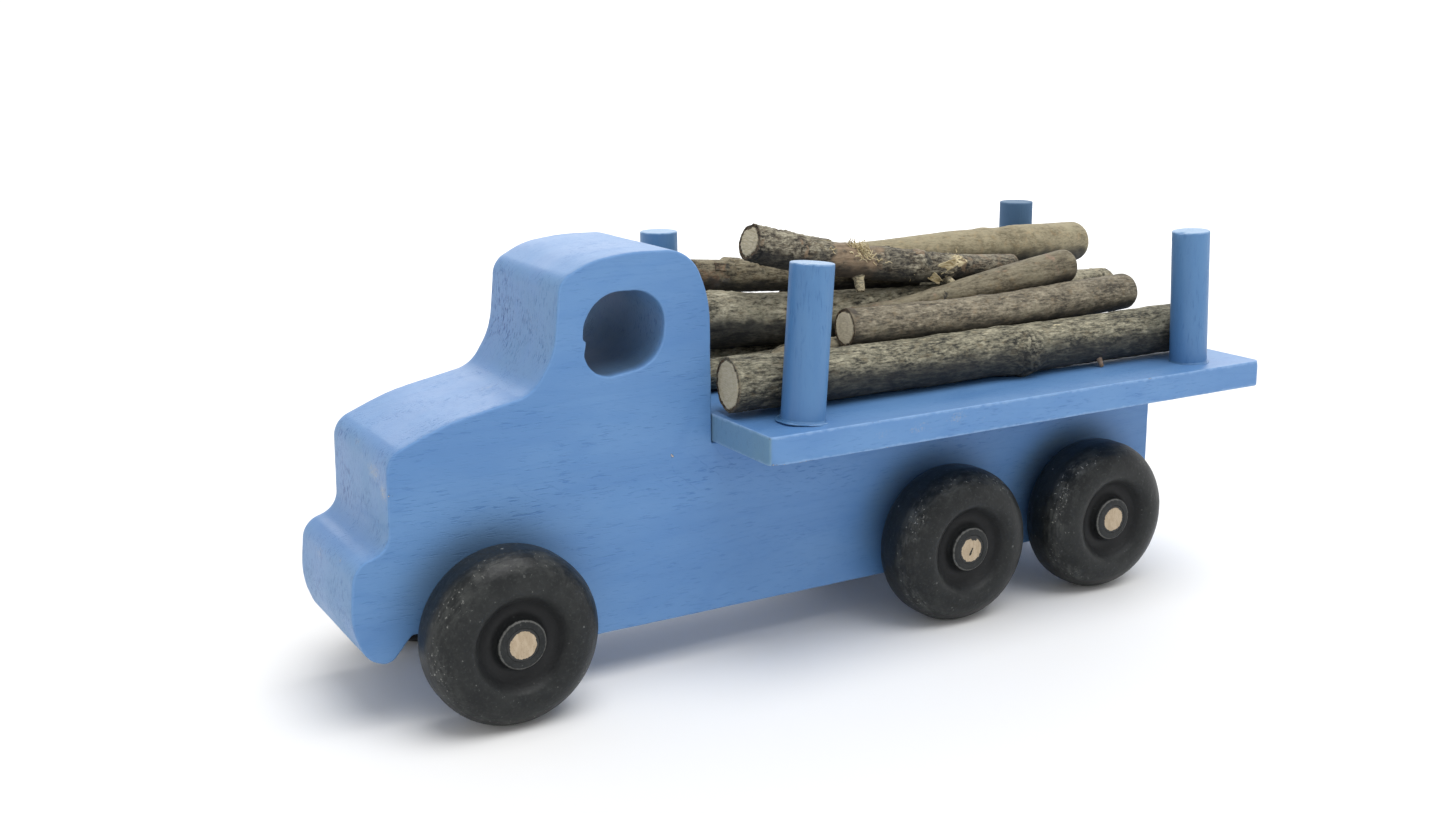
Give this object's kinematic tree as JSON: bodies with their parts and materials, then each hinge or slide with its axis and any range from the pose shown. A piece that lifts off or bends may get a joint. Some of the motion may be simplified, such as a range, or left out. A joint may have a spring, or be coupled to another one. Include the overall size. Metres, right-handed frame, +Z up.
{
  "type": "toy log truck",
  "caption": "Wooden toy truck: one-board cab and chassis, flatbed with round stakes, wheels on through axles, and a load of cut branches.",
  "frame": {"origin": "centre of the footprint at ground level, under the middle of the truck's length and width", "axes": "+Z up, -Y forward, +X to the truck's left"},
  "size_m": [0.115, 0.3083, 0.1285],
  "materials": {
    "blue_painted_board": "thin matte blue paint, wood grain showing through",
    "blue_painted_deck": "thin matte blue paint, edge rubbed pale",
    "blue_painted_stake": "thin matte blue paint on dowel",
    "black_wheel": "black satin paint, dusty and scuffed",
    "bare_dowel": "bare sanded end grain, black paint at its rim",
    "bark": "dry rough brown-grey bark, pale sawn ends"
  },
  "bodies": {
    "truck": {"cab_and_chassis": "blue_painted_board", "flatbed_deck": "blue_painted_deck", "stake_front_left": "blue_painted_stake", "stake_front_right": "blue_painted_stake", "stake_rear_left": "blue_painted_stake", "stake_rear_right": "blue_painted_stake"},
    "front_wheelset": {"front_axle": "bare_dowel", "wheel_front_left": "black_wheel", "wheel_front_right": "black_wheel"},
    "middle_wheelset": {"middle_axle": "bare_dowel", "wheel_middle_left": "black_wheel", "wheel_middle_right": "black_wheel"},
    "rear_wheelset": {"rear_axle": "bare_dowel", "wheel_rear_left": "black_wheel", "wheel_rear_right": "black_wheel"},
    "log_01_bottom_left_body": {"log_01_bottom_left": "bark"},
    "log_02_bottom_inner_left_body": {"log_02_bottom_inner_left": "bark"},
    "log_03_bottom_middle_body": {"log_03_bottom_middle": "bark"},
    "log_04_bottom_inner_right_body": {"log_04_bottom_inner_right": "bark"},
    "log_05_bottom_right_body": {"log_05_bottom_right": "bark"},
    "log_06_second_left_body": {"log_06_second_left": "bark"},
    "log_07_second_right_body": {"log_07_second_right": "bark"},
    "log_08_second_middle_body": {"log_08_second_middle": "bark"},
    "log_09_tapered_left_body": {"log_09_tapered_left": "bark"},
    "log_10_upper_right_body": {"log_10_upper_right": "bark"},
    "log_11_top_right_body": {"log_11_top_right": "bark"},
    "log_12_top_left_body": {"log_12_top_left": "bark"}
  },
  "joints": [
    {"name": "front_wheels_roll", "type": "hinge", "parent": "truck", "child": "front_wheelset", "pos_m": [0, -0.1134, 0.0254], "axis": [1, 0, 0], "continuous": true},
    {"name": "middle_wheels_roll", "type": "hinge", "parent": "truck", "child": "middle_wheelset", "pos_m": [0, 0.041, 0.0254], "axis": [1, 0, 0], "continuous": true},
    {"name": "rear_wheels_roll", "type": "hinge", "parent": "truck", "child": "rear_wheelset", "pos_m": [0, 0.1017, 0.0254], "axis": [1, 0, 0], "continuous": true},
    {"name": "log_01_lift", "type": "slide", "parent": "truck", "child": "log_01_bottom_left_body", "axis": [0, 0, 1], "range_m": [0, 0.06]},
    {"name": "log_02_lift", "type": "slide", "parent": "log_01_bottom_left_body", "child": "log_02_bottom_inner_left_body", "axis": [0, 0, 1], "range_m": [0, 0.06]},
    {"name": "log_03_lift", "type": "slide", "parent": "log_02_bottom_inner_left_body", "child": "log_03_bottom_middle_body", "axis": [0, 0, 1], "range_m": [0, 0.06]},
    {"name": "log_04_lift", "type": "slide", "parent": "log_03_bottom_middle_body", "child": "log_04_bottom_inner_right_body", "axis": [0, 0, 1], "range_m": [0, 0.06]},
    {"name": "log_05_lift", "type": "slide", "parent": "log_04_bottom_inner_right_body", "child": "log_05_bottom_right_body", "axis": [0, 0, 1], "range_m": [0, 0.06]},
    {"name": "log_06_lift", "type": "slide", "parent": "log_05_bottom_right_body", "child": "log_06_second_left_body", "axis": [0, 0, 1], "range_m": [0, 0.06]},
    {"name": "log_07_lift", "type": "slide", "parent": "log_06_second_left_body", "child": "log_07_second_right_body", "axis": [0, 0, 1], "range_m": [0, 0.06]},
    {"name": "log_08_lift", "type": "slide", "parent": "log_07_second_right_body", "child": "log_08_second_middle_body", "axis": [0, 0, 1], "range_m": [0, 0.06]},
    {"name": "log_09_lift", "type": "slide", "parent": "log_08_second_middle_body", "child": "log_09_tapered_left_body", "axis": [0, 0, 1], "range_m": [0, 0.06]},
    {"name": "log_10_lift", "type": "slide", "parent": "log_09_tapered_left_body", "child": "log_10_upper_right_body", "axis": [0, 0, 1], "range_m": [0, 0.06]},
    {"name": "log_11_lift", "type": "slide", "parent": "log_10_upper_right_body", "child": "log_11_top_right_body", "axis": [0, 0, 1], "range_m": [0, 0.06]},
    {"name": "log_12_lift", "type": "slide", "parent": "log_11_top_right_body", "child": "log_12_top_left_body", "axis": [0, 0, 1], "range_m": [0, 0.06]}
  ]
}
